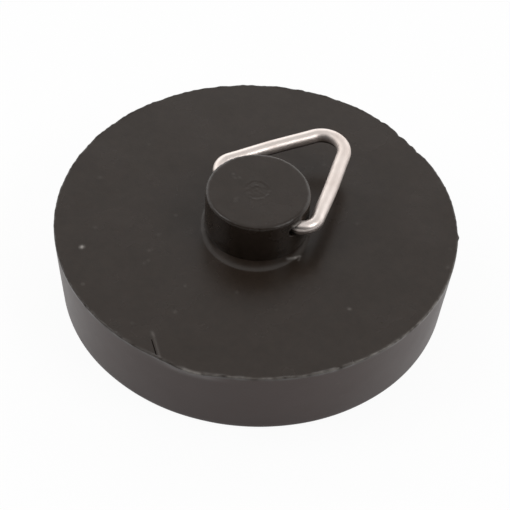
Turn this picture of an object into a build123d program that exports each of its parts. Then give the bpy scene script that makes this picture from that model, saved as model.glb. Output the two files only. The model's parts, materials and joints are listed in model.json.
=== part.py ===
from build123d import *
from math import asin, atan2, cos, degrees, hypot, radians, sin, tan
import os

# A rubber waste plug with a wire bail, in millimetres.
# Frame: the origin is the centre of the plug's flat underside and +Z points up through the boss.
# +X runs along the hole that carries the bail, and the bail lies over towards +Y.

# Driving dimensions of the rubber moulding
top_diameter = 45.0
bottom_diameter = 42.9
disc_thickness = 9.5
boss_diameter = 11.6
boss_height = 5.4

# Roundings of the rubber moulding
underside_round = 0.4
rim_round = 0.2
boss_top_round = 0.35
boss_foot_round = 0.7

# The gate mark in the middle of the boss: a shallow ring with a nub left standing in it
gate_diameter = 3.0
gate_depth = 0.15
gate_nub_diameter = 1.2
gate_nub_height = 0.08

# Driving dimensions of the bail
wire_diameter = 1.6
bail_reach = 14.07
crown_bend = 2.45
corner_bend = 1.77
bail_tilt_deg = 0.8

# How the bail and its hole fit
hole_cover = 1.74
running_clearance = 0.05
shoulder_gap = 0.12
butt_gap = 0.3

# How far each cutter runs past what it cuts
overrun = 1.0

# Radii and places worked out from the sizes above
top_radius = top_diameter / 2
bottom_radius = bottom_diameter / 2
boss_radius = boss_diameter / 2
wire_radius = wire_diameter / 2
boss_top = disc_thickness + boss_height
hole_height = boss_top - hole_cover
bore_radius = wire_radius + running_clearance

# The straight base of the bail ends where its corner bends begin
corner_inside = corner_bend - wire_radius
base_half = boss_radius + shoulder_gap - corner_inside
mouth_round = corner_inside - running_clearance


def circle_edges_at(solid, height):
    """The circular edges of a turned solid at one height, the smallest first."""
    level = Plane.XY.offset(height)
    rings = [edge for edge in solid.edges() if level.contains(edge.center()) and edge.is_closed]
    return sorted(rings, key=lambda edge: edge.radius)


def turned_plug():
    """The tapered disc with its round boss, turned about Z, with every edge rounded."""
    upright = (Align.CENTER, Align.CENTER, Align.MIN)
    disc = Cone(bottom_radius, top_radius, disc_thickness, align=upright)
    boss = Pos(0, 0, disc_thickness) * Cylinder(boss_radius, boss_height, align=upright)
    body = disc + boss
    body = fillet(circle_edges_at(body, disc_thickness)[0], boss_foot_round)
    body = fillet(circle_edges_at(body, disc_thickness)[-1], rim_round)
    body = fillet(circle_edges_at(body, boss_top)[0], boss_top_round)
    return fillet(circle_edges_at(body, 0)[0], underside_round)


def gate_mark():
    """The ring cut into the top of the boss where the rubber entered the mould."""
    sunk = (Align.CENTER, Align.CENTER, Align.MIN)
    floor = boss_top - gate_depth
    ring = Pos(0, 0, floor) * Cylinder(gate_diameter / 2, gate_depth + overrun, align=sunk)
    nub = Pos(0, 0, floor) * Cylinder(gate_nub_diameter / 2, gate_nub_height, align=sunk)
    return ring - nub


def hole_mouth():
    """One bell mouth of the hole, turned about X, which clears the corner bend in its swing."""
    start = (base_half, 0)
    throat = (base_half, bore_radius)
    halfway = radians(45)
    bend = (base_half + mouth_round * sin(halfway), corner_bend - mouth_round * cos(halfway))
    lip = (base_half + mouth_round, corner_bend)
    outside = base_half + mouth_round + overrun
    outline = Line(start, throat)
    outline += ThreePointArc(throat, bend, lip)
    outline += Polyline(lip, (outside, corner_bend), (outside, 0), start)
    return revolve(make_face(outline), Axis.X)


def bail_hole():
    """The straight bore through the boss, with a bell mouth at both ends."""
    straight = Rot(0, 90, 0) * Cylinder(bore_radius, 2 * base_half)
    mouth = hole_mouth()
    return Pos(0, 0, hole_height) * (straight + mouth + mirror(mouth, Plane.YZ))


def rubber_plug():
    """The moulding: disc and boss in one piece of rubber."""
    return turned_plug() - gate_mark() - bail_hole()


def leg_lean():
    """The angle between each leg and the bail's middle line, from the two bends that it joins."""
    rise = bail_reach - wire_radius - crown_bend - corner_bend
    between = hypot(base_half, rise)
    return atan2(base_half, rise) - asin((crown_bend - corner_bend) / between)


def bail_path():
    """The wire's centre line: a rounded triangle that is open in the middle of its base."""
    lean = leg_lean()
    corner = base_half + corner_bend * tan((radians(90) + lean) / 2)
    crown = corner / tan(lean)
    end = butt_gap / 2
    points = [(end, 0), (corner, 0), (0, crown), (-corner, 0), (-end, 0)]
    return FilletPolyline(*points, radius=[corner_bend, crown_bend, corner_bend])


def wire_bail():
    """The bent wire, laid over towards +Y with its base in the hole."""
    path = bail_path()
    section = Plane(origin=path @ 0, z_dir=path % 0) * Circle(wire_radius)
    wire = sweep(section, path=path)
    return Pos(0, 0, hole_height) * Rot(bail_tilt_deg, 0, 0) * wire


parts = {
    "rubber_plug": rubber_plug(),
    "wire_bail": wire_bail(),
}

os.makedirs("parts", exist_ok=True)
for name, shape in parts.items():
    shape.label = name
    export_step(shape, f"parts/{name}.step")
    box = shape.bounding_box()
    print(name, "volume", round(shape.volume, 2), "from", box.min, "to", box.max)

print("leg lean, degrees", round(degrees(leg_lean()), 2))
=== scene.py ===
# %% [markdown]
# # A rubber waste plug with a wire bail
# The imported CAD model has two pieces: one moulding of black rubber, and one bent wire that
# swings in a hole through its boss. CAD gives their sizes and the hinge. This lesson gives
# them what a mould, a wire bender and some years in a drawer leave behind. The frame loads
# first, because every piece below is built in its coordinates.
# %% Load the imported frame
import json
from itertools import product
from math import asin, atan2, cos, degrees, hypot, pi, radians, sin, tan

import bmesh
import bpy
import numpy as np
from mathutils import Matrix, Vector


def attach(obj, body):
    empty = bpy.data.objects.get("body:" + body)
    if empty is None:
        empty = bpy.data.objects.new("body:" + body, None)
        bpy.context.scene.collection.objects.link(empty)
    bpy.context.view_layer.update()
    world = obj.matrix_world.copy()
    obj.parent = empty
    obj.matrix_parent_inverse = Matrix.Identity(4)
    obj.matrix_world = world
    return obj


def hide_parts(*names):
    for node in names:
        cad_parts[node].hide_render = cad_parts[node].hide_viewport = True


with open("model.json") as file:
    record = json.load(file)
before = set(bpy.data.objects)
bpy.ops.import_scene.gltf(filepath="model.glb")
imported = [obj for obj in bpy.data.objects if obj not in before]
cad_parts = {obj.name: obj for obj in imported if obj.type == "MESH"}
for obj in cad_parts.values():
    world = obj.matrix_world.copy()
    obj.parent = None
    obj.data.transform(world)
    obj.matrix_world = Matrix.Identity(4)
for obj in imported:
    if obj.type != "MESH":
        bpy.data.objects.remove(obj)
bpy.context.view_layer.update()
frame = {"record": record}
mm = 0.001

# %% [markdown]
# ## The camera
# A camera stands where the photographer's stood: some 30 cm away, 46 degrees above the
# table, with the bail's hole turned 39.5 degrees to its right. From there a long lens fills
# the frame with so small a plug. The camera could be turned by hand until the picture fits,
# but it also leans a little to one side, so its own axes are built first and then rolled.
# %% Camera
hole_turn = radians(39.5)
camera_rise = radians(46.456)
camera_roll = radians(3.622)
camera_distance = 306.084 * mm
lens_mm = 194.26
disc_top = 9.5 * mm
aim = Vector((3.03 * mm, -3.55 * mm, disc_top))

toward_camera = Vector((
    sin(hole_turn) * cos(camera_rise),
    -cos(hole_turn) * cos(camera_rise),
    sin(camera_rise),
))
camera_place = toward_camera * camera_distance + Vector((0, 0, disc_top))
sight = (aim - camera_place).normalized()
level_right = sight.cross(Vector((0, 0, 1))).normalized()
level_up = level_right.cross(sight)
camera_right = level_right * cos(camera_roll) + level_up * sin(camera_roll)
camera_up = level_up * cos(camera_roll) - level_right * sin(camera_roll)

camera_data = bpy.data.cameras.new("photo_camera")
camera_data.lens = lens_mm
camera_data.sensor_width = 36
camera_data.dof.use_dof = False
camera_data.clip_start = 0.01
camera_data.clip_end = 50
camera = bpy.data.objects.new("photo_camera", camera_data)
camera.matrix_world = Matrix((camera_right, camera_up, -sight)).transposed().to_4x4()
camera.location = camera_place
bpy.context.collection.objects.link(camera)
bpy.context.scene.camera = camera
bpy.context.scene.view_settings.view_transform = "Standard"
print("camera at", [round(v / mm, 1) for v in camera_place], "mm")

# %% [markdown]
# ## Shared effects
# Moulded rubber and plated wire both have clouds of slightly different finish, a fine
# grain, and a little dust. Each could be drawn again in every material. Instead each is
# one node group with named inputs, built once and placed in each material with that
# material's own sizes. The groups put out masks and heights only, and the shader itself
# stays in the material.
# %% Helpers for nodes
def new_node(tree, kind, **numbers):
    """A shader node, with plain numbers or colours on its named inputs."""
    node = tree.nodes.new("ShaderNode" + kind)
    for name, value in numbers.items():
        node.inputs[name].default_value = value
    return node


def feed(tree, socket, given):
    """Gives a node's input a plain number or vector, a colour, or a link from a socket."""
    if isinstance(given, (int, float, Vector)):
        socket.default_value = given
    elif isinstance(given, tuple):
        socket.default_value = (*given, 1)
    else:
        tree.links.new(given, socket)


def value_math(tree, kind, first, second, clamp=False):
    """The result of one Math node. Each input is a socket or a plain number."""
    node = new_node(tree, "Math")
    node.operation = kind
    node.use_clamp = clamp
    feed(tree, node.inputs[0], first)
    feed(tree, node.inputs[1], second)
    return node.outputs[0]


def vector_math(tree, kind, place, second):
    """The result of one Vector Math node. The second input is a socket or a Vector."""
    node = new_node(tree, "VectorMath")
    node.operation = kind
    tree.links.new(place, node.inputs[0])
    feed(tree, node.inputs[1], second)
    return node.outputs["Value" if kind == "DOT_PRODUCT" else "Vector"]


def map_range(tree, value, before, after, kind="LINEAR"):
    """A value between the two numbers before, moved to between the two numbers after."""
    node = new_node(tree, "MapRange")
    node.interpolation_type = kind
    for name, number in zip(("From Min", "From Max", "To Min", "To Max"), before + after):
        node.inputs[name].default_value = number
    tree.links.new(value, node.inputs["Value"])
    return node.outputs["Result"]


def pattern(tree, kind, place, **numbers):
    """The outputs of a noise or cell texture, at a place already divided by its size."""
    node = new_node(tree, kind, **numbers)
    tree.links.new(place, node.inputs["Vector"])
    return node.outputs


# %% Helpers that start a node group
def new_group(title, setting, output):
    """A node group with a place, a size, one more setting and one output."""
    group = bpy.data.node_groups.new(title, "ShaderNodeTree")
    sockets = [("Place", "INPUT", "NodeSocketVector"), ("Size", "INPUT", "NodeSocketFloat")]
    sockets += [(setting, "INPUT", "NodeSocketFloat"), (output, "OUTPUT", "NodeSocketFloat")]
    for name, way, kind in sockets:
        group.interface.new_socket(name=name, in_out=way, socket_type=kind)
    return group, group.nodes.new("NodeGroupInput"), group.nodes.new("NodeGroupOutput")


def sized_place(tree, way_in):
    """The group's place, divided by its size, so that a pattern repeats about once a size."""
    return vector_math(tree, "DIVIDE", way_in.outputs["Place"], way_in.outputs["Size"])


# %% Clouds: soft patches of a slightly different finish
clouds, way_in, way_out = new_group("Clouds", "Contrast", "Mask")
place = sized_place(clouds, way_in)
noise = pattern(clouds, "TexNoise", place, Scale=1, Detail=4, Roughness=0.55)
from_middle = value_math(clouds, "SUBTRACT", noise["Fac"], 0.5)
stretched = value_math(clouds, "MULTIPLY", from_middle, way_in.outputs["Contrast"])
mask = value_math(clouds, "ADD", stretched, 0.5, clamp=True)
clouds.links.new(mask, way_out.inputs["Mask"])
print("group", clouds.name)

# %% Fine grain: the texture that a mould or a drawing die leaves
fine_grain, way_in, way_out = new_group("Fine grain", "Pits", "Height")
place = sized_place(fine_grain, way_in)
noise = pattern(fine_grain, "TexNoise", place, Scale=1, Detail=3, Roughness=0.6)
cells = pattern(fine_grain, "TexVoronoi", place, Scale=0.45)
hollow = map_range(fine_grain, cells["Distance"], (0, 0.35), (1, 0))
pitted = value_math(fine_grain, "MULTIPLY", hollow, way_in.outputs["Pits"])
height = value_math(fine_grain, "SUBTRACT", noise["Fac"], pitted)
fine_grain.links.new(height, way_out.inputs["Height"])
print("group", fine_grain.name)

# %% Dust: a few small pale specks, each with its own strength
dust, way_in, way_out = new_group("Dust", "Amount", "Mask")
cells = pattern(dust, "TexVoronoi", sized_place(dust, way_in), Scale=0.22)
speck = map_range(dust, cells["Distance"], (0.06, 0.13), (1, 0))
cell_tone = new_node(dust, "SeparateColor")
dust.links.new(cells["Color"], cell_tone.inputs[0])
kept = value_math(dust, "SUBTRACT", way_in.outputs["Amount"], cell_tone.outputs[0])
strength = value_math(dust, "MULTIPLY", kept, 6, clamp=True)
mask = value_math(dust, "MULTIPLY", speck, strength)
dust.links.new(mask, way_out.inputs["Mask"])
print("group", dust.name)

# %% [markdown]
# ## The rubber
# Black waste-plug rubber is never quite black. Carbon in it makes the body dark, and a thin
# bloom greys the surface in soft patches, with a satin shine over it. One flat colour would
# look like plastic, so clouds mix four near blacks and vary the roughness, and a grain and
# soft waves give it tooth. The mesh carries two masks. Pale marks what is paler: rubbed flash
# at the rim, crumbs, nicks and a ring at the skirt's edge, and painted highlights along the
# rim's front, the boss's top edge and the mouth's lip. Wall marks the tapered wall and the
# underside, which get a browner colour and a duller shine than the top.
# %% Helpers for a material
def new_material(title):
    """A material with its tree, its Principled shader and the piece's own place in mm."""
    material = bpy.data.materials.new(title)
    material.use_nodes = True
    tree = material.node_tree
    shader = tree.nodes["Principled BSDF"]
    place = new_node(tree, "TexCoord").outputs["Object"]
    return material, tree, shader, vector_math(tree, "MULTIPLY", place, Vector((1 / mm,) * 3))


def use_group(tree, group, place, **values):
    """A copy of a shared effect in this material, fed with a place and plain numbers."""
    node = new_node(tree, "Group")
    node.node_tree = group
    tree.links.new(place, node.inputs["Place"])
    for name, value in values.items():
        node.inputs[name.capitalize()].default_value = value
    return node.outputs[0]


def from_mesh(tree, name):
    """The outputs of a node that reads one of the mesh's own attributes."""
    node = new_node(tree, "Attribute")
    node.attribute_name = name
    return node.outputs


def blend_colours(tree, mask, first, second):
    """One colour over another by a mask or a plain share. A colour is a socket or a tuple."""
    node = new_node(tree, "Mix")
    node.data_type = "RGBA"
    feed(tree, node.inputs["Factor"], mask)
    feed(tree, node.inputs[6], first)
    feed(tree, node.inputs[7], second)
    return node.outputs[2]


def add_bump(tree, shader, height, depth_mm):
    """A bump whose whole height is a real depth, on the shader's Normal."""
    node = new_node(tree, "Bump", Strength=1, Distance=depth_mm * mm)
    tree.links.new(height, node.inputs["Height"])
    tree.links.new(node.outputs["Normal"], shader.inputs["Normal"])


# %% The rubber's colours
deep_black = (0.0215, 0.0151, 0.0110)
bloomed_black = (0.0268, 0.0186, 0.0137)
mottle_dark = (0.0195, 0.0136, 0.0099)
mottle_light = (0.0288, 0.0202, 0.0149)
# The wall and the underside get a browner colour.
wall_brown = (0.036, 0.0185, 0.015)
worn_and_lit_grey = (0.42, 0.39, 0.36)
dust_on_rubber = (0.30, 0.28, 0.25)
most_dust_on_rubber = 0.07

rubber, tree, shader, place = new_material("moulded_black_rubber")
on_wall = from_mesh(tree, "wall")["Fac"]
bloom = use_group(tree, clouds, place, size=6.0, contrast=2.2)
mottle = use_group(tree, clouds, place, size=0.9, contrast=2.6)
body = blend_colours(tree, bloom, deep_black, bloomed_black)
fine = blend_colours(tree, mottle, mottle_dark, mottle_light)
black = blend_colours(tree, 0.5, body, fine)
walled = blend_colours(tree, on_wall, black, wall_brown)
# Pale places get a paler grey: rubbed flash, crumbs and nicks, and painted highlights along the rim,
# the boss's top edge and the mouth's lip.
worn_and_lit = blend_colours(tree, from_mesh(tree, "pale")["Fac"], walled, worn_and_lit_grey)
specks = use_group(tree, dust, place, size=0.55, amount=0.20)
dust_share = map_range(tree, specks, (0, 1), (0, most_dust_on_rubber))
dusted = blend_colours(tree, dust_share, worn_and_lit, dust_on_rubber)
tree.links.new(dusted, shader.inputs["Base Color"])
print("material", rubber.name)

# %% The rubber's shine and its grain
wall_dullness = 0.12
satin = map_range(tree, bloom, (0, 1), (0.24, 0.29))
duller = value_math(tree, "MULTIPLY", on_wall, wall_dullness)
tree.links.new(value_math(tree, "ADD", satin, duller), shader.inputs["Roughness"])
shader.inputs["IOR"].default_value = 1.40
grain = use_group(tree, fine_grain, place, size=0.22, pits=0.35)
waves = use_group(tree, clouds, place, size=1.1, contrast=0.9)
add_bump(tree, shader, value_math(tree, "ADD", grain, waves), depth_mm=0.006)
print("nodes in the rubber", len(tree.nodes))

# %% [markdown]
# ## The plated wire
# The bail is drawn wire with a thin bright plating. A plain metal shader would look like new
# chrome, and this wire is handled and a little tarnished. Drawing leaves lines along it, so
# the mesh carries each point's place on the straightened wire as an attribute named drawn,
# and the grain is stretched along it. Clouds dull the plating a little here and there. A
# mask paints shade on the wire in its hole, and paints shade and the disc's dark reflection
# on its underside, and one named brushed dulls the leg that has been rubbed most.
# %% The wire's colours
bright_plating = (0.79, 0.715, 0.67)
dull_plating = (0.72, 0.64, 0.595)
dust_on_wire = (0.45, 0.42, 0.38)
most_dust_on_wire = 0.3
# This colour is painted shade, for the wire in its hole and on its underside.
wire_shade_colour = (0.055, 0.045, 0.040)

plated, tree, shader, _ = new_material("bright_plated_wire")
drawn_place = from_mesh(tree, "drawn")["Vector"]
tarnish = use_group(tree, clouds, drawn_place, size=1.6, contrast=2.4)
specks = use_group(tree, dust, drawn_place, size=0.3, amount=0.12)
metal = blend_colours(tree, tarnish, bright_plating, dull_plating)
dust_share = map_range(tree, specks, (0, 1), (0, most_dust_on_wire))
dusted = blend_colours(tree, dust_share, metal, dust_on_wire)
# Painted shade darkens the wire in its hole and on its underside.
shaded_wire = blend_colours(tree, from_mesh(tree, "painted_shade")["Fac"], dusted, wire_shade_colour)
tree.links.new(shaded_wire, shader.inputs["Base Color"])
shader.inputs["Metallic"].default_value = 1
print("material", plated.name)

# %% The wire's shine and its drawn lines
leg_dullness = 0.16
line_stretch = 0.04
duller = value_math(tree, "MULTIPLY", from_mesh(tree, "brushed")["Fac"], leg_dullness)
finish = value_math(tree, "ADD", map_range(tree, tarnish, (0, 1), (0.35, 0.45)), duller)
tree.links.new(finish, shader.inputs["Roughness"])
stretched = vector_math(tree, "MULTIPLY", drawn_place, Vector((line_stretch, 1, 1)))
lines = use_group(tree, fine_grain, stretched, size=0.07, pits=0.1)
add_bump(tree, shader, lines, depth_mm=0.004)
print("nodes in the wire", len(tree.nodes))

# %% [markdown]
# ## The moulding's outline
# The plug is turned: disc, boss, and every rounding between them are one outline spun about
# the middle. A curve with a Screw modifier could do that. Here the outline is a list of
# points, because later steps push every point out or in by its own amount. It runs from the
# middle of the boss's top, over the rim, to the middle of the underside, and its points lie
# close together at the gate mark, the roundings, the boss's foot and the rim.
# %% Sizes of the moulding, in mm
rim_radius = 22.5
foot_radius = 21.45
disc_thickness = 9.5
boss_radius = 5.8
boss_top = 14.9
boss_top_round = 0.42
rim_round = 0.2
underside_round = 0.4
taper_deg = degrees(atan2(rim_radius - foot_radius, disc_thickness))
print("the wall leans out", round(taper_deg, 2), "degrees")

# %% Helpers that draw the outline
outline = [(0.06, boss_top)]


def straight_to(radius, height, step):
    """Adds evenly spaced points from the outline's last point to this one."""
    last = outline[-1]
    length = hypot(radius - last[0], height - last[1])
    count = max(1, round(length / step))
    for k in range(1, count + 1):
        part = k / count
        outline.append((last[0] + (radius - last[0]) * part, last[1] + (height - last[1]) * part))


def round_to(middle, radius, start_deg, end_deg, count):
    """Adds points along a rounding."""
    for k in range(1, count + 1):
        angle = radians(start_deg + (end_deg - start_deg) * k / count)
        outline.append((middle[0] + radius * cos(angle), middle[1] + radius * sin(angle)))


# %% Draw the outline
gate_rows_end = 2.0
edge_rows_start = 4.8
skirt_rows_end = 7.5
rim_rows_start = 21.4
wall_rows_end = 0.5
edge_start = boss_radius - boss_top_round
round_start = rim_radius - rim_round * tan(radians(45 + taper_deg / 2))
foot_start = foot_radius - underside_round * 0.9

straight_to(gate_rows_end, boss_top, step=0.075)
straight_to(edge_rows_start, boss_top, step=0.28)
straight_to(edge_start, boss_top, step=0.12)
round_to((edge_start, boss_top - boss_top_round), boss_top_round, 90, 0, count=7)
straight_to(boss_radius, disc_thickness, step=0.2)
straight_to(skirt_rows_end, disc_thickness, step=0.07)
inner_rows = len(outline)
straight_to(rim_rows_start, disc_thickness, step=0.22)
straight_to(round_start, disc_thickness, step=0.07)
round_to((round_start, disc_thickness - rim_round), rim_round, 90, -taper_deg, count=6)
straight_to(foot_radius + wall_rows_end * sin(radians(taper_deg)), wall_rows_end, step=0.3)
round_to((foot_start, underside_round), underside_round, -taper_deg, -90, count=5)
straight_to(1.5, 0, step=1.2)
outline = np.array(outline)
print("outline points", len(outline), "and the inner rows end at", inner_rows)

# %% The distance along the outline, and the way straight out of it
run = np.concatenate([[0], np.cumsum(np.hypot(*np.diff(outline, axis=0).T))])
ahead = np.gradient(outline, axis=0)
ahead /= np.hypot(*ahead.T)[:, None]
outward = np.stack([-ahead[:, 1], ahead[:, 0]], axis=1)
print("outline length", round(run[-1], 1), "mm")

# %% [markdown]
# ## What the mould left on it
# A real moulding isn't a perfect turned shape. Thin rubber creeps into the joint of the
# mould and tears off as a ragged flash round the rim. The gate where the rubber came in
# leaves two faint rings on the boss, a low skirt runs round the boss's foot, the boss's top
# edge is worn, and every face sinks a little as it cools. Sculpting could add that once.
# Here each mark is one small function that can be tuned and run again: it says how far the
# surface stands out at a place, in mm, and some also say how pale it is, from 0 to 1.
# Directions are in degrees from the hole's axis, and the photo looks from about -50.
# %% Smooth random values
lattice_size = 32
lattice = np.random.default_rng(11).random((lattice_size,) * 3) * 2 - 1
print("random lattice", lattice.shape)


def lumps(places, size):
    """Smooth random values from -1 to 1 at places in mm, with lumps about one size across."""
    scaled = places / size
    cell = np.floor(scaled).astype(int)
    part = scaled - cell
    part = part * part * (3 - 2 * part)
    total = np.zeros(len(places))
    for corner in product((0, 1), repeat=3):
        weight = np.prod(np.where(corner, part, 1 - part), axis=1)
        total += weight * lattice[tuple(((cell + corner) % lattice_size).T)]
    return total


# %% Humps, ramps and directions
def hump(distance, width):
    """A smooth hump, 1 in the middle and near 0 beyond twice its width."""
    return np.exp(-((distance / width) ** 2))


def ramp(value, low, high):
    """0 below low, 1 above high, smooth between."""
    part = np.clip((value - low) / (high - low), 0, 1)
    return part * part * (3 - 2 * part)


def turn_from(angle, middle_deg):
    """The angle from a direction, in degrees, from -180 to 180."""
    return (np.degrees(angle) - middle_deg + 180) % 360 - 180


def angle_of(places):
    """The direction of each place round the plug's axis, in radians."""
    return np.arctan2(places[:, 1], places[:, 0])


def away_from(places, x, y):
    """The level distance of each place from a spot."""
    return np.hypot(places[:, 0] - x, places[:, 1] - y)


# %% The gate mark and the boss's top edge
gate_middle = (-0.2, -0.05)
boss_flecks = [(-3.65, -0.05), (-3.20, -0.35), (-2.75, 0.05), (-0.95, -2.55), (-0.70, -2.90)]
fleck_size = 0.16
edge_inset = 0.12
seam_deg = 18


def on_boss_top(places):
    """Whether each place lies on top of the boss."""
    return places[:, 2] > boss_top - 0.2


def gate_mark(places, radius):
    """Two faint rings with torn rubber between them. Each is a raised line round a groove."""
    wander = away_from(places, *gate_middle) + 0.12 * lumps(places, 0.9)
    outer = 0.011 * (hump(wander - 1.42, 0.13) - hump(wander - 1.16, 0.16))
    inner = 0.008 * (hump(wander - 0.6, 0.16) - hump(wander - 0.3, 0.16))
    uneven = 0.45 + 0.75 * lumps(places + 3, 1.1)
    torn = 0.012 * lumps(places, 0.35) * (1 - ramp(radius, 1.1, 1.7))
    return ((outer + inner) * uneven + torn) * on_boss_top(places)


def edge_wear_and_highlight(places, radius):
    """How far the boss's top edge is worn, and how pale it is: a painted highlight on the edge and
    the seam, and pale flecks on the top.
    """
    below_top = places[:, 2] - boss_top
    at_edge = hump(np.hypot(radius - boss_radius + edge_inset, below_top + edge_inset), 0.3)
    flecks = sum(hump(away_from(places, x, y), fleck_size) for x, y in boss_flecks)
    flecks = 0.07 * flecks * on_boss_top(places)
    # The seam is a low ridge with a painted highlight along it.
    seam = hump(below_top + boss_top_round, 0.09) * hump(turn_from(angle_of(places), seam_deg), 24)
    seam = seam * (radius > boss_radius - 0.1)
    height = 0.022 * lumps(places, 0.45) * at_edge + 0.04 * seam
    # The paleness of the edge and the seam is a painted highlight.
    return height, (0.012 + 0.018 * lumps(places, 0.8)) * at_edge + 0.05 * seam + flecks


# %% The rim's flash, its flat and its nicks
front_deg = -48
chipped_deg = -98
bulge_deg = -65.5
# Each step, flat or nick has a direction and a width in degrees, and a depth in mm. A depth
# below zero stands out.
flash_steps = [(-26.2, 0.8, -0.10), (-24.6, 0.7, 0.12)]
flats = [(79, 8.5, 0.30)]
nicks = [(91.5, 0.7, 0.16), (84.0, 0.7, 0.16), (75.5, 0.8, 0.12), (39.5, 1.0, -0.14)]
nicks += [(bulge_deg, 6.5, -0.40)]


def losses(angle, table):
    """How deep a table's flats or nicks are in each direction."""
    return sum(depth * hump(turn_from(angle, middle), width) for middle, width, depth in table)


def rim_flash(places, angle):
    """How far the flash stands out along the rim: thin, and torn lower or higher in places."""
    ragged = lumps(places, 0.38) * 0.6 + lumps(places, 1.4) * 0.6
    chips = np.maximum(0, lumps(places + 40, 1.1) - 0.35)
    chips = chips * (1 + hump(turn_from(angle, chipped_deg), 14))
    front = hump(turn_from(angle, front_deg), 30)
    return 0.035 + 0.04 * front + 0.09 * ragged - 0.15 * chips - losses(angle, flash_steps)


def rim_wear_and_highlight(places, angle):
    """How pale the flash is: rubbed in patches, with a painted highlight along the front and at the
    bulge.
    """
    # The front ramp is a painted highlight along the front of the rim.
    front = ramp(turn_from(angle, -72), 0, 6) * (1 - ramp(turn_from(angle, 10), 0, 40))
    sides = hump(turn_from(angle, -92), 22) + 1.6 * hump(turn_from(angle, 22), 25)
    patches = 0.7 + 0.5 * lumps(places, 0.9) + 0.5 * lumps(places, 0.4)
    # A painted highlight on the torn flash at the bulge.
    torn = 0.25 * hump(turn_from(angle, bulge_deg), 2.5)
    return np.clip((0.30 * front + 0.07 * sides + torn) * patches + 0.04 * lumps(places, 0.4), 0, 1)


height_counts = 0.7 * (outline[:, 0] > 20)
rim_row = int(np.argmax(outline[:, 0] + outline[:, 1] * height_counts))
rim_at = run[rim_row]
print("nicks", len(nicks), "rim crest at", outline[rim_row].round(2))

# %% The low skirt round the boss's foot
skirt_slope = 0.19
skirt_radius = 6.12
skirt_front_deg = -53
skirt_front_extra = 1.05


def skirt_edge(angle):
    """The radius where the skirt ends: close to the wall, and further out at the front."""
    toward_front = np.maximum(0, np.cos(angle - radians(skirt_front_deg)))
    return skirt_radius + skirt_front_extra * toward_front**1.8


def foot_skirt(angle, radius, height):
    """How much the skirt lifts the disc at the boss's foot. It fades out up the boss's wall."""
    reach = skirt_edge(angle) - boss_radius
    part = np.clip((radius - boss_radius) / reach, 0, 1)
    return skirt_slope * reach * (1 - part**2) * (1 - ramp(height, 9.8, 10.9)) * (height > 9.0)


print("the skirt ends at", skirt_edge(np.radians([127, 37, -53])).round(2), "mm")

# %% The curled nick, the slit's lips, and crumbs on the disc
# Each crumb has a place, a size and a paleness. The first is the white speck at the left.
crumb_height = 0.012
crumbs = [
    (-11.4, -16.0, 0.20, 0.90),
    (-5.7, -11.2, 0.20, 0.07),
    (-4.8, -13.0, 0.20, 0.04),
    (-6.6, -8.8, 0.20, 0.04),
    (-12.4, -12.9, 0.20, 0.05),
    (0.7, -12.3, 0.15, 0.09),
    (2.5, -15.8, 0.20, 0.08),
    (5.3, -9.0, 0.20, 0.05),
    (15.7, -2.3, 0.17, 0.20),
    (-17.4, -7.0, 0.20, 0.05),
    (8.0, 7.9, 0.20, 0.04),
    (-0.7, 12.3, 0.22, 0.05),
    (19.5, 9.9, 0.20, 0.05),
]
# Each scratch has a start, an end, a width, a height and a paleness. The first two are the
# slit's lips, the next three the curled nick, and the last a faint line at the left.
scratches = [
    ((3.10, -19.85), (5.75, -21.62), 0.11, 0.03, 0.09),
    ((2.75, -19.70), (3.05, -19.85), 0.14, 0.03, 0.12),
    ((6.05, -1.55), (6.50, -0.80), 0.15, 0.05, 0.24),
    ((6.50, -0.80), (6.65, -0.30), 0.14, 0.04, 0.26),
    ((6.75, -0.20), (7.00, -0.85), 0.10, 0.03, 0.14),
    ((-13.8, -7.6), (-12.9, -4.5), 0.30, 0.00, 0.006),
]


def from_line(places, start, end):
    """The level distance of each place from a short line."""
    offset = places[:, :2] - start
    span = np.array(end) - start
    part = np.clip(offset @ span / (span @ span), 0, 1)
    return np.hypot(*(offset - part[:, None] * span).T)


def small_marks(places, radius):
    """Height and paleness of the skirt's edge, the nick, the slit's lips and the crumbs."""
    top_side = np.abs(places[:, 2] - disc_thickness) < 0.6
    angle = angle_of(places)
    edge = hump(radius - skirt_edge(angle) + 0.25, 0.3)
    height = 0.015 * edge * lumps(places, 0.9)
    pale = 0.03 * edge * (1 + 2.5 * hump(turn_from(angle, 6), 16))
    for start, end, size, lift, tone in scratches:
        line = hump(from_line(places, start, end), size)
        height += lift * line
        pale += tone * line
    for x, y, size, tone in crumbs:
        crumb = hump(away_from(places, x, y), size)
        height += crumb_height * crumb
        pale += tone * crumb
    return height * top_side, pale * top_side


print("crumbs", len(crumbs), "scratches", len(scratches))


# %% The surface of the moulding
def sinking(places, out_z):
    """How far the faces sank as they cooled. The underside only sinks inward."""
    sink = 0.012 * lumps(places, 5.0) + 0.006 * lumps(places + 9, 1.6)
    return np.where(out_z < -0.9, 0.4 * sink - 0.008, sink)


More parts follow.
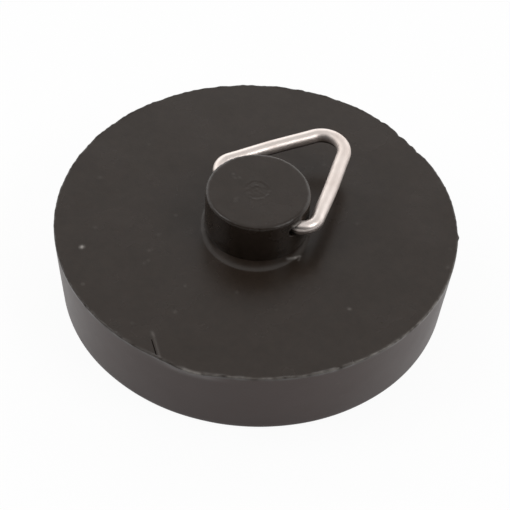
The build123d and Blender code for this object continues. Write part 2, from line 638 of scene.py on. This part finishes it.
def on_surface(angle, at):
    """Places on the moulding at angles and at distances along the outline, with paleness."""
    radius = np.interp(at, run, outline[:, 0])
    height = np.interp(at, run, outline[:, 1])
    out_r = np.interp(at, run, outward[:, 0])
    out_z = np.interp(at, run, outward[:, 1])
    flat_reach = ramp(radius, 19.5, rim_radius) * ramp(height, 4.5, 9)
    nick_reach = ramp(radius, 21.6, rim_radius) * ramp(height, 8.2, 9.3)
    radius = radius - losses(angle, flats) * flat_reach - losses(angle, nicks) * nick_reach
    height = height + foot_skirt(angle, radius, height)
    places = np.stack([radius * np.cos(angle), radius * np.sin(angle), height], axis=1)
    crest = hump(at - rim_at, 0.11)
    flash = rim_flash(places, angle) * crest
    marks, pale = small_marks(places, radius)
    worn, worn_and_lit = edge_wear_and_highlight(places, radius)
    raised = flash + marks + sinking(places, out_z) + gate_mark(places, radius) + worn
    # Pale adds rubbed flash, crumbs and painted highlights.
    pale = pale + rim_wear_and_highlight(places, angle) * crest + worn_and_lit
    places[:, 0] += raised * out_r * np.cos(angle)
    places[:, 1] += raised * out_r * np.sin(angle)
    places[:, 2] += raised * out_z
    return places, pale

# %% [markdown]
# ## The mesh of the moulding
# The outline is spun into rows of four-sided faces, with 360 steps round the boss and twice
# as many out on the disc, joined by one row of triangles. A boolean could cut the hole
# afterwards, but it would leave thin faces and hard edges at the mouths. So two windows are
# left open in the boss's wall, and the next step fills each with a mouth.
# %% Rows of the spun mesh
boss_steps = 360
disc_steps = 2 * boss_steps
rows = []
points = []
paleness = []
total = 0
for index, at in enumerate(run):
    steps = boss_steps if index < inner_rows else disc_steps
    turn = np.arange(steps) * 2 * pi / steps
    places, pale = on_surface(turn, np.full(steps, at))
    rows.append(np.arange(total, total + steps))
    points.append(places)
    paleness.append(pale)
    total += steps
print("rows", len(rows), "points", total)

# %% The window round each end of the hole
window_half = 18
window_top = 5.2
window_drop = 1.85
joint = next(j for j in frame["record"]["behaviour"]["joints"] if j["name"] == "bail_swing")
hole_height = joint["pos_m"][2] / mm
# A row off the boss gets 9 mm added to its distance, so the nearest row is on the boss.
off_boss = 9 * (outline[:, 0] > 6)
first_row = int(np.argmin(np.hypot(outline[:, 0] - window_top, outline[:, 1] - boss_top)))
last_row = int(np.argmin(np.abs(outline[:, 1] - (hole_height - window_drop)) + off_boss))
hole_at = np.interp(-hole_height, -outline[first_row:last_row, 1], run[first_row:last_row])
print("window rows", first_row, "to", last_row, "hole at", round(float(hole_at), 2), "mm")


def in_window(row, step):
    """Whether the face after this row and step lies in either window."""
    offset = (step + boss_steps // 4) % (boss_steps // 2) - boss_steps // 4
    return first_row <= row < last_row and -window_half <= offset < window_half


# %% Faces between the rows
def neighbours(count):
    """Each step round a ring, with the step after it."""
    return [(k, (k + 1) % count) for k in range(count)]


faces = []
for index in range(len(rows) - 1):
    near = rows[index]
    far = rows[index + 1]
    for k, after in neighbours(len(near)):
        if len(near) != len(far):
            middle = far[2 * k + 1]
            faces.append((near[k], far[2 * k], middle))
            faces.append((near[k], middle, near[after]))
            faces.append((near[after], middle, far[2 * after]))
        elif not in_window(index, k):
            faces.append((near[k], far[k], far[after], near[after]))
print("faces so far", len(faces))

# %% [markdown]
# ## The hole's mouths
# Rubber grips its wire. In the CAD each mouth is a wide bell, because a rigid boss has to
# clear the wire's corner bend all the way round. Here each mouth is snug: in every direction
# it reaches just past the wire as the bail stands in the photo and as it lies down, and the
# rubber stands out in a soft lip on its upper side. While the bail swings over the boss its
# corner presses into that lip, as it does in real rubber. In each window the mesh runs in
# rings, from the window's edge to the mouth, over its edge and along the bore, where the
# rings from both ends meet. That way the hole is part of the same skin, with no cut edges.
# %% Sizes of the hole, in mm, and the CAD's bell
wire_radius = 0.8
bore_radius = 0.85
corner_bend = 1.77
bell_start = 4.95
bell_round = 0.92


def bell_radius(x):
    """The bell's radius at a distance from the boss's middle."""
    part = np.clip((x - bell_start) / bell_round, 0, 0.999)
    return corner_bend - bell_round * np.sqrt(1 - part**2)

# %% A snug mouth that clears the wire where the bail lies
snug_poses_deg = (-12.3, -6.0, 0.8, 192.3)
snug_gap = 0.04
reach_tries = 181


def wire_reach(x, facing, pose_deg):
    """How far the bent wire reaches from the hole's axis in each direction, in one pose."""
    away = facing - radians(pose_deg)
    tries = np.linspace(0.6, 1.5, reach_tries)[:, None]
    along_bend = tries * np.cos(away) - corner_bend
    from_bend = np.hypot(np.maximum(x - bell_start, 0), along_bend) - corner_bend
    inside = from_bend**2 + (tries * np.sin(away)) ** 2 < wire_radius**2
    last_inside = np.cumprod(inside, axis=0).sum(axis=0) - 1
    return tries[np.clip(last_inside, 0, reach_tries - 1), 0]


def mouth_radius(x, facing):
    """The mouth's radius: snug round the wire, and wider where it lies in its end poses."""
    reaches = [wire_reach(x, facing, pose) for pose in snug_poses_deg]
    snug = np.maximum(np.max(reaches, axis=0) + snug_gap, bore_radius)
    return np.minimum(snug, bell_radius(x))


sides = np.radians([0, 90, 180, 270])
print("mouth radius", mouth_radius(np.full(4, boss_radius), sides).round(2), "mm")

# %% The lip round the mouth
edge_round = 0.08
lip_height = 0.28
lip_highlight_tone = 0.60


def lip(facing):
    """How far the rubber stands out round the mouth: a soft lip on its upper side."""
    direction = np.degrees(facing)
    return lip_height * ramp(direction, 48, 75) * (1 - ramp(direction, 128, 152))


def lip_highlight(facing):
    """How pale the mouth's edge is on its upper front: a painted highlight."""
    direction = np.degrees(facing) % 360
    return lip_highlight_tone * ramp(direction, 70, 100) * (1 - ramp(direction, 135, 165))


def mouth_edge(facing):
    """Where the mouth meets the wall in each direction: its radius and its distance out."""
    x = np.full(len(facing), boss_radius)
    for _ in range(40):
        radius = mouth_radius(x, facing)
        x = (x + np.sqrt(boss_radius**2 - (radius * np.cos(facing)) ** 2) + lip(facing)) / 2
    return radius, x


# %% Rings on the wall and round the hole
def middle_step(side):
    """The step round the boss at the middle of a window."""
    return 0 if side > 0 else boss_steps // 2


def window_loop(side):
    """The window's edge, in order, as pairs of a row and a step."""
    middle = middle_step(side)
    steps = range(middle - window_half, middle + window_half)
    loop = [(first_row, s) for s in steps]
    loop += [(r, middle + window_half) for r in range(first_row, last_row)]
    loop += [(last_row, s + 1) for s in reversed(steps)]
    loop += [(r, middle - window_half) for r in range(last_row, first_row, -1)]
    return loop


def wall_rings(side, across, up, mouth_ring, facing):
    """Rings on the boss's wall, from the window's edge to the mouth, with the lip raised."""
    around = np.arctan2(up, across)
    made = []
    for part in np.linspace(0, 1, 14)[1:]:
        ring_across = across * (1 - part) + mouth_ring * np.cos(around) * part
        ring_up = up * (1 - part) + mouth_ring * np.sin(around) * part
        angle = (0 if side > 0 else pi) + ring_across / boss_radius
        places, _ = on_surface(angle, hole_at - ring_up)
        beyond = np.hypot(ring_across, ring_up) - mouth_ring
        places[:, 0] += side * lip(facing) * (1 - ramp(beyond, -0.1, 0.35))
        made.append(places)
    return made


def hole_ring(x, radius, y, z):
    """One ring round the hole: how far out it is, its radius, and its directions."""
    return np.stack([np.broadcast_to(x, y.shape), radius * y, hole_height + radius * z], axis=1)

# %% One mouth, from its window to the middle of the bore
# How much of the painted highlight each ring takes: the last two on the wall, then the round edge.
highlight_rings = {11: 0.4, 12: 1.0, 13: 1.0, 14: 1.0, 15: 1.0}


def mouth(side):
    """The window's vertices, then the rings of places from there inward, with paleness."""
    loop = window_loop(side)
    window = np.array([rows[r][s % boss_steps] for r, s in loop])
    across = np.array([(s - middle_step(side)) * 2 * pi / boss_steps * boss_radius for _, s in loop])
    up = np.array([hole_at - run[r] for r, _ in loop])
    around = np.arctan2(up, across)
    y = np.cos(around) * side
    z = np.sin(around)
    facing = np.arctan2(z, y)
    edge_radius, edge_x = mouth_edge(facing)
    rounding = edge_round + 0.5 * lip(facing)
    made = wall_rings(side, across, up, edge_radius + rounding, facing)
    on_wall = made[-1]
    for turn in (0.3, 0.6, 0.85):
        angle = radians(90 * turn)
        radius = edge_radius + rounding * (1 - sin(angle))
        x = edge_x - rounding * (1 - cos(angle))
        ring = hole_ring(side * x, radius, y, z)
        made.append(on_wall * (1 - turn) ** 2 + ring * (1 - (1 - turn) ** 2))
    for part in np.linspace(0, 1, 10):
        x = (edge_x - rounding) * (1 - part) + bell_start * part
        made.append(hole_ring(side * x, mouth_radius(x, facing), y, z))
    for x in (3.8, 2.6, 1.3):
        made.append(hole_ring(side * x, bore_radius, y, z))
    # The tones are a painted highlight on the lip's upper front.
    tones = [highlight_rings.get(k, 0) * lip_highlight(facing) for k in range(len(made))]
    return window, made, tones


bore_ends = []
for side in (1, -1):
    previous, made, tones = mouth(side)
    for places, tone in zip(made, tones):
        ring = np.arange(total, total + len(places))
        total += len(places)
        points.append(places)
        paleness.append(tone)
        for k, after in neighbours(len(ring)):
            faces.append((previous[k], previous[after], ring[after], ring[k]))
        previous = ring
    bore_ends.append(previous)
print("mouth rings", len(made), "of", len(made[0]), "points")

# %% Join both bores and close the two middles
everywhere = np.concatenate(points)
right_end, left_end = bore_ends
nearest = []
for vertex in right_end:
    away = everywhere[left_end][:, 1:] - everywhere[vertex][1:]
    nearest.append(int(left_end[np.argmin(np.hypot(*away.T))]))
for k, after in neighbours(len(right_end)):
    faces.append((right_end[k], right_end[after], nearest[after], nearest[k]))

top_hub = total
underside_hub = total + 1
middle_top = everywhere[rows[0]].mean(axis=0)
middle_bottom = np.array([0, 0, everywhere[rows[-1]][:, 2].mean()])
everywhere = np.vstack([everywhere, middle_top, middle_bottom])
paleness = np.concatenate(paleness + [np.zeros(2)])
for k, after in neighbours(boss_steps):
    faces.append((top_hub, rows[0][k], rows[0][after]))
for k, after in neighbours(disc_steps):
    faces.append((underside_hub, rows[-1][after], rows[-1][k]))
print("faces in all", len(faces))


# %% Helpers for a piece
def make_piece(name, places, polygons, material):
    """A new object from places in mm and faces by vertex number, with one material."""
    mesh = bpy.data.meshes.new(name)
    mesh.from_pydata((places * mm).tolist(), [], [tuple(int(v) for v in p) for p in polygons])
    mesh.materials.append(material)
    piece = bpy.data.objects.new(name, mesh)
    bpy.context.collection.objects.link(piece)
    return piece


def write_mask(piece, name, values):
    """A mask from 0 to 1 on the mesh's vertices, for the material to read."""
    attribute = piece.data.attributes.new(name, "FLOAT", "POINT")
    attribute.data.foreach_set("value", np.clip(values, 0, 1).astype(np.float32))


def clean_mesh(mesh):
    """Drops vertices that no face uses, turns every face outward, and counts bad edges."""
    work = bmesh.new()
    work.from_mesh(mesh)
    loose = [v for v in work.verts if not v.link_faces]
    bmesh.ops.delete(work, geom=loose, context="VERTS")
    bmesh.ops.recalc_face_normals(work, faces=work.faces)
    bad_edges = sum(not e.is_manifold for e in work.edges)
    work.to_mesh(mesh)
    work.free()
    return bad_edges


def shade_smooth(mesh):
    """Smooth shading, but with a crisp edge where two faces meet at a clear angle."""
    for polygon in mesh.polygons:
        polygon.use_smooth = True
    mesh.set_sharp_from_angle(angle=radians(38))


# %% Make the moulding
moulding = make_piece("rubber_moulding", everywhere, faces, rubber)
write_mask(moulding, "pale", paleness)
below_top = disc_thickness - everywhere[:, 2]
out_from_middle = np.hypot(everywhere[:, 0], everywhere[:, 1])
wall_or_underside = (out_from_middle > 15) | (everywhere[:, 2] < 1)
write_mask(moulding, "wall", ramp(below_top, 0.1, 0.5) * wall_or_underside)
bad_edges = clean_mesh(moulding.data)
print("moulding faces", len(moulding.data.polygons), "bad edges", bad_edges)

# %% [markdown]
# ## The slit
# Near the rim a knife or a nail has nicked the disc. Pushing the mesh's points down would
# give a blunt groove, because the points are further apart than the cut is wide. So the cut
# is a thin wedge, taken out with a boolean, and its sides are straight and its edges sharp.
# %% Slit
slit_depth = 0.24
wedge_above = 0.4
wedge_half_width = 0.15
end_slope = 0.35
slit_start = Vector((3.20, -20.30, 0))
slit_end = Vector((5.40, -21.75, 0))
slit_way = (slit_end - slit_start).normalized()
sideways = Vector((-slit_way.y, slit_way.x, 0)) * wedge_half_width
low = Vector((0, 0, disc_thickness - slit_depth))
high = Vector((0, 0, disc_thickness + wedge_above))
inset = slit_way * end_slope
wedge = np.array([
    slit_start + low + inset,
    slit_end + low - inset,
    slit_start + high - sideways,
    slit_start + high + sideways,
    slit_end + high - sideways,
    slit_end + high + sideways,
])
wedge_faces = [(0, 2, 3), (1, 5, 4), (0, 1, 4, 2), (0, 3, 5, 1), (2, 4, 5, 3)]
cutter = make_piece("slit_cutter", wedge, wedge_faces, rubber)
cut = moulding.modifiers.new("slit", "BOOLEAN")
cut.operation = "DIFFERENCE"
cut.solver = "EXACT"
cut.object = cutter
evaluated = moulding.evaluated_get(bpy.context.evaluated_depsgraph_get())
cut_mesh = bpy.data.meshes.new_from_object(evaluated)
moulding.modifiers.clear()
moulding.data = cut_mesh
bpy.data.objects.remove(cutter)
shade_smooth(cut_mesh)
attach(moulding, "plug")
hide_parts("rubber_plug")
print("moulding after the slit", len(cut_mesh.polygons), "faces")

# %% [markdown]
# ## The bail
# The bail is one wire, bent to a rounded triangle whose base lies in the hole. A curve with
# a bevel would be quicker to make, but its section stays round and it carries no masks. So
# it is a tube swept in mesh code along its middle line: a straight base from each end, a
# corner bend, a leg that springs out a little, and the crown. Bent wire isn't quite round at
# its bends, where the outside stretches, so the section is a little flatter there.
# %% Sizes of the bail, in mm
crown_bend = 2.45
bail_reach = 14.07
leg_spring = 0.10
butt_gap = 0.3
tilt = radians(0.8)
crown_middle = bail_reach - wire_radius - crown_bend
rise = crown_middle - corner_bend
leg_lean = atan2(bell_start, rise) - asin((crown_bend - corner_bend) / hypot(bell_start, rise))
print("leg lean", round(degrees(leg_lean), 2), "degrees")

# %% Middle line of the wire
base_steps = 24
base_step = 0.2
corner_steps = 28
leg_steps = 40
crown_steps = 20


def half_bail():
    """The wire's middle line from one cut end to the top of the crown, with its bend there."""
    line = [(butt_gap / 2 + k * base_step, 0, 0) for k in range(base_steps)]
    line.append((bell_start, 0, 0))
    for k in range(1, corner_steps + 1):
        angle = -pi / 2 + (pi / 2 + leg_lean) * k / corner_steps
        x = bell_start + corner_bend * cos(angle)
        y = corner_bend + corner_bend * sin(angle)
        line.append((x, y, sin(pi * k / corner_steps)))
    low = line[-1]
    high = (crown_bend * cos(leg_lean), crown_middle + crown_bend * sin(leg_lean))
    for k in range(1, leg_steps):
        part = k / leg_steps
        spring = leg_spring * sin(pi * part) ** 2
        x = low[0] + (high[0] - low[0]) * part + spring * cos(leg_lean)
        y = low[1] + (high[1] - low[1]) * part + spring * sin(leg_lean)
        line.append((x, y, 0))
    for k in range(crown_steps + 1):
        angle = leg_lean + (pi / 2 - leg_lean) * k / crown_steps
        bend = sin(pi * min(1, 0.15 + k / crown_steps) / 2)
        line.append((crown_bend * cos(angle), crown_middle + crown_bend * sin(angle), bend))
    return line


right_half = half_bail()
left_half = [(-x, y, bend) for x, y, bend in reversed(right_half[:-1])]
middle_line = np.array(right_half + left_half)
line_steps = np.hypot(*np.diff(middle_line[:, :2], axis=0).T)
length = np.concatenate([[0], np.cumsum(line_steps)])
print("wire length", round(length[-1], 1), "mm")

# %% Sweep the wire
around_steps = 56
bend_narrowing = 0.035
bend_thinning = 0.005
forward = np.gradient(middle_line[:, :2], axis=0)
forward /= np.hypot(*forward.T)[:, None]
outside = np.stack([forward[:, 1], -forward[:, 0]], axis=1)
turns = np.arange(around_steps) * 2 * pi / around_steps
wire_points = []
drawn = []
for k, (x, y, bend) in enumerate(middle_line):
    outer = wire_radius * np.cos(turns) * (1 - bend_narrowing * bend)
    lift = wire_radius * np.sin(turns) * (1 - bend_thinning * bend)
    along_bail = y + outer * outside[k, 1]
    wire_points.append(np.stack([
        x + outer * outside[k, 0],
        along_bail * cos(tilt) - lift * sin(tilt),
        hole_height + along_bail * sin(tilt) + lift * cos(tilt),
    ], axis=1))
    drawn.append(np.stack([np.full(around_steps, length[k]), outer, lift], axis=1))
wire_points = np.concatenate(wire_points)
drawn = np.concatenate(drawn)
wire_faces = []
for k in range(len(middle_line) - 1):
    for j, after in neighbours(around_steps):
        a = k * around_steps + j
        b = k * around_steps + after
        wire_faces.append((a, b, b + around_steps, a + around_steps))
print("points along the wire", len(middle_line))

# %% Close the cut ends with a small chamfer
end_share = 0.9
last = (len(middle_line) - 1) * around_steps
for first in (0, last):
    ring = np.arange(first, first + around_steps)
    middle = wire_points[ring].mean(axis=0)
    wire_points[ring] = middle + (wire_points[ring] - middle) * end_share
    wire_points = np.vstack([wire_points, middle])
    drawn = np.vstack([drawn, drawn[ring].mean(axis=0)])
    hub = len(wire_points) - 1
    for j, after in neighbours(around_steps):
        pair = (ring[j], ring[after]) if first == last else (ring[after], ring[j])
        wire_faces.append((hub, *pair))
bail = make_piece("bent_wire", wire_points, wire_faces, plated)
print("wire faces", len(bail.data.polygons))

# %% Painted shade and wear on the wire
root_shade_ends = 5.85
underneath_shade = 0.85
from_end = np.minimum(drawn[:, 0], length[-1] - drawn[:, 0])
# Painted shade in the hole, fading out where the wire leaves it.
at_root = 1 - ramp(from_end, 5.3, root_shade_ends)
below = -drawn[:, 2] / wire_radius
inside = -drawn[:, 1] / wire_radius
lower_inside = ramp(below, -0.05, 0.35) * ramp(inside, -0.2, 0.4)
# Painted shade and a painted dark reflection of the disc on the wire's underside.
underneath = underneath_shade * np.maximum(ramp(below, 0.35, 0.85), lower_inside)
crown_top = length[-1] * 0.5
past_crown = ramp(drawn[:, 0], crown_top, crown_top + 3)
one_leg = ramp(drawn[:, 0], 8.0, 10.5) * (1 - past_crown)
attribute = bail.data.attributes.new("drawn", "FLOAT_VECTOR", "POINT")
attribute.data.foreach_set("vector", drawn.astype(np.float32).ravel())
# This mask paints shade on the wire in its hole and underneath.
write_mask(bail, "painted_shade", np.maximum(at_root, underneath))
write_mask(bail, "brushed", one_leg)
bad_edges = clean_mesh(bail.data)
shade_smooth(bail.data)
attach(bail, "bail")
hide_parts("wire_bail")
print("bad edges in the wire", bad_edges)

# %% [markdown]
# ## The table
# The plug stands on a white table. More light would turn a floor white, but it would also
# wash out the rubber. So the floor is white by its own colour, and for the camera and for
# reflections most of it is a plain white of strength 1, so that only the shadow at the
# plug's foot shows.
# %% Table
table_half = 3.0
floor_mesh = bpy.data.meshes.new("table")
corners = [(x * table_half, y * table_half, 0) for x, y in ((-1, -1), (1, -1), (1, 1), (-1, 1))]
floor_mesh.from_pydata(corners, [], [(0, 1, 2, 3)])
floor = bpy.data.objects.new("table", floor_mesh)
bpy.context.collection.objects.link(floor)
print("table", 2 * table_half, "m wide")

# %% White table material
seen_white = 0.94
mirrored_white = 0.66
white_table = bpy.data.materials.new("white_table")
white_table.use_nodes = True
tree = white_table.node_tree
tree.nodes.clear()
output = new_node(tree, "OutputMaterial")
matt = new_node(tree, "BsdfDiffuse", Color=(0.9, 0.9, 0.9, 1))
glow = new_node(tree, "Emission", Color=(1, 1, 1, 1))
rays = new_node(tree, "LightPath").outputs
mirrored = value_math(tree, "MAXIMUM", rays["Is Glossy Ray"], rays["Is Transmission Ray"])
seen_share = value_math(tree, "MULTIPLY", rays["Is Camera Ray"], seen_white)
mirrored_share = value_math(tree, "MULTIPLY", mirrored, mirrored_white)
white_share = value_math(tree, "MAXIMUM", seen_share, mirrored_share)
mixed = new_node(tree, "MixShader")
tree.links.new(white_share, mixed.inputs[0])
tree.links.new(matt.outputs[0], mixed.inputs[1])
tree.links.new(glow.outputs[0], mixed.inputs[2])
tree.links.new(mixed.outputs[0], output.inputs["Surface"])
floor_mesh.materials.append(white_table)
print("material", white_table.name)

# %% [markdown]
# ## The light
# Satin rubber shows what it mirrors, so the surroundings matter as much as the lamps. A
# picture of a studio could be wrapped round it. Here the world is a few soft steps instead,
# which can be moved one by one: a bright wall behind the plug, a grey roof and a white
# horizon. A soft square lamp on each side then lights its wall.
# %% World: a bright back wall, a grey roof and a white horizon
# Heights are the sine of the angle above the horizon, and brightnesses are light strengths.
back_wall_fades = (0.58, 0.70)
back_wall_light = (1.62, 0.61)
roof_starts = (0.76, 0.88)
roof_light = 0.75
horizon_ends = (0.02, 0.08)

world = bpy.data.worlds.new("light_tent")
bpy.context.scene.world = world
world.use_nodes = True
tree = world.node_tree
background = tree.nodes["Background"]
direction = new_node(tree, "TexCoord").outputs["Generated"]
split = new_node(tree, "SeparateXYZ")
tree.links.new(direction, split.inputs[0])
height = split.outputs["Z"]
back = Vector((-sin(hole_turn), cos(hole_turn), 0))
toward_back = vector_math(tree, "DOT_PRODUCT", direction, back)

back_wall = map_range(tree, height, back_wall_fades, back_wall_light, "SMOOTHSTEP")
back_share = map_range(tree, toward_back, (-0.2, 0.5), (0, 1), "SMOOTHSTEP")
walls = value_math(tree, "MULTIPLY", back_wall, back_share)
roof = map_range(tree, height, roof_starts, (0, roof_light), "SMOOTHSTEP")
horizon = map_range(tree, height, horizon_ends, (1, 0), "SMOOTHSTEP")
walls_and_roof = value_math(tree, "MAXIMUM", walls, roof)
light_tent = value_math(tree, "MAXIMUM", walls_and_roof, horizon)
tree.links.new(light_tent, background.inputs["Color"])
print("world", world.name)

# %% Lamps
lamp_distance = 0.9
lamp_size = 0.44
left = Vector((-cos(hole_turn), -sin(hole_turn), 0))


def soft_lamp(name, turn_deg, rise_deg, power):
    """A square lamp that faces the plug, turned from the back to the left, and raised."""
    lamp = bpy.data.lights.new(name, "AREA")
    lamp.shape = "SQUARE"
    lamp.size = lamp_size
    lamp.energy = power
    level = back * cos(radians(turn_deg)) + left * sin(radians(turn_deg))
    way = level * cos(radians(rise_deg)) + Vector((0, 0, sin(radians(rise_deg))))
    way.normalize()
    holder = bpy.data.objects.new(name, lamp)
    holder.location = way * lamp_distance
    holder.rotation_mode = "QUATERNION"
    holder.rotation_quaternion = way.to_track_quat("Z", "Y")
    bpy.context.collection.objects.link(holder)


soft_lamp("left_softbox", turn_deg=95, rise_deg=46, power=2.1)
soft_lamp("right_softbox", turn_deg=-115, rise_deg=42, power=2.5)
